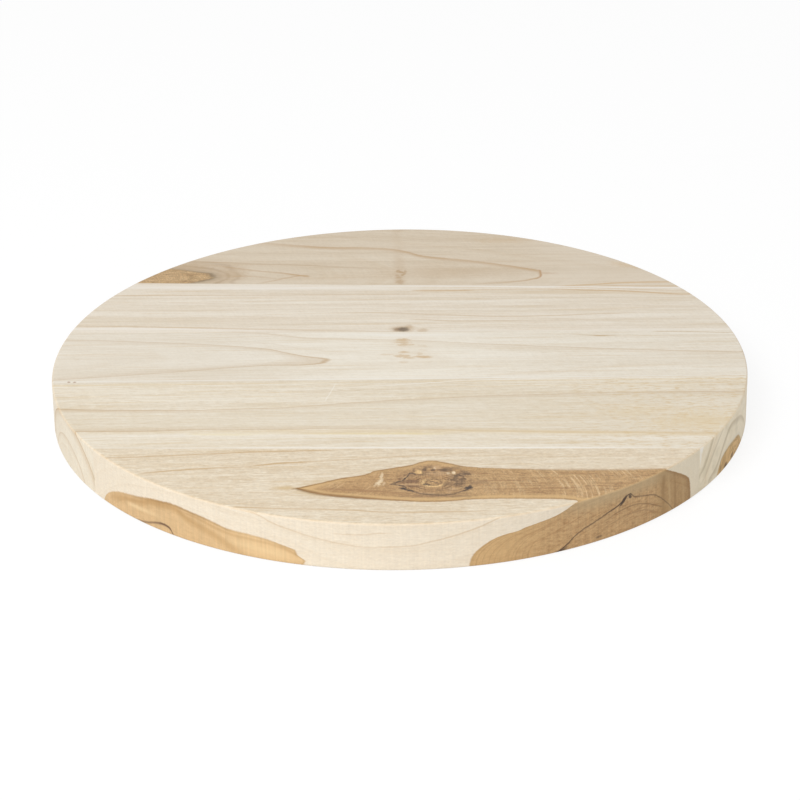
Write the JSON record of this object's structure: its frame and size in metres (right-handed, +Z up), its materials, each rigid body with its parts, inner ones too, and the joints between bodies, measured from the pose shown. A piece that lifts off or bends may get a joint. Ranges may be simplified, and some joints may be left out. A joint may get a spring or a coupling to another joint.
{
  "type": "round cutting board",
  "caption": "Thick round cutting board of wide staves edge-glued side by side, turned round with eased rims and flat on both faces.",
  "frame": {"origin": "centre of the round underside", "axes": "+Z up through the thickness, +X along the grain of the staves, +Y from the front stave to the rear stave"},
  "size_m": [0.45, 0.45, 0.031],
  "materials": {
    "rear_stave_wood": "sanded bare, greyish tan sapwood with a golden heartwood corner",
    "rear_inner_stave_wood": "sanded bare, pale straight-grained sapwood",
    "middle_stave_wood": "sanded bare, pale flat-sawn sapwood",
    "front_inner_stave_wood": "sanded bare, pale yellowish sapwood",
    "front_stave_wood": "sanded bare, pale sapwood round golden brown heartwood with a knot"
  },
  "bodies": {
    "root": {"rear_stave": "rear_stave_wood", "rear_inner_stave": "rear_inner_stave_wood", "middle_stave": "middle_stave_wood", "front_inner_stave": "front_inner_stave_wood", "front_stave": "front_stave_wood"}
  },
  "joints": []
}
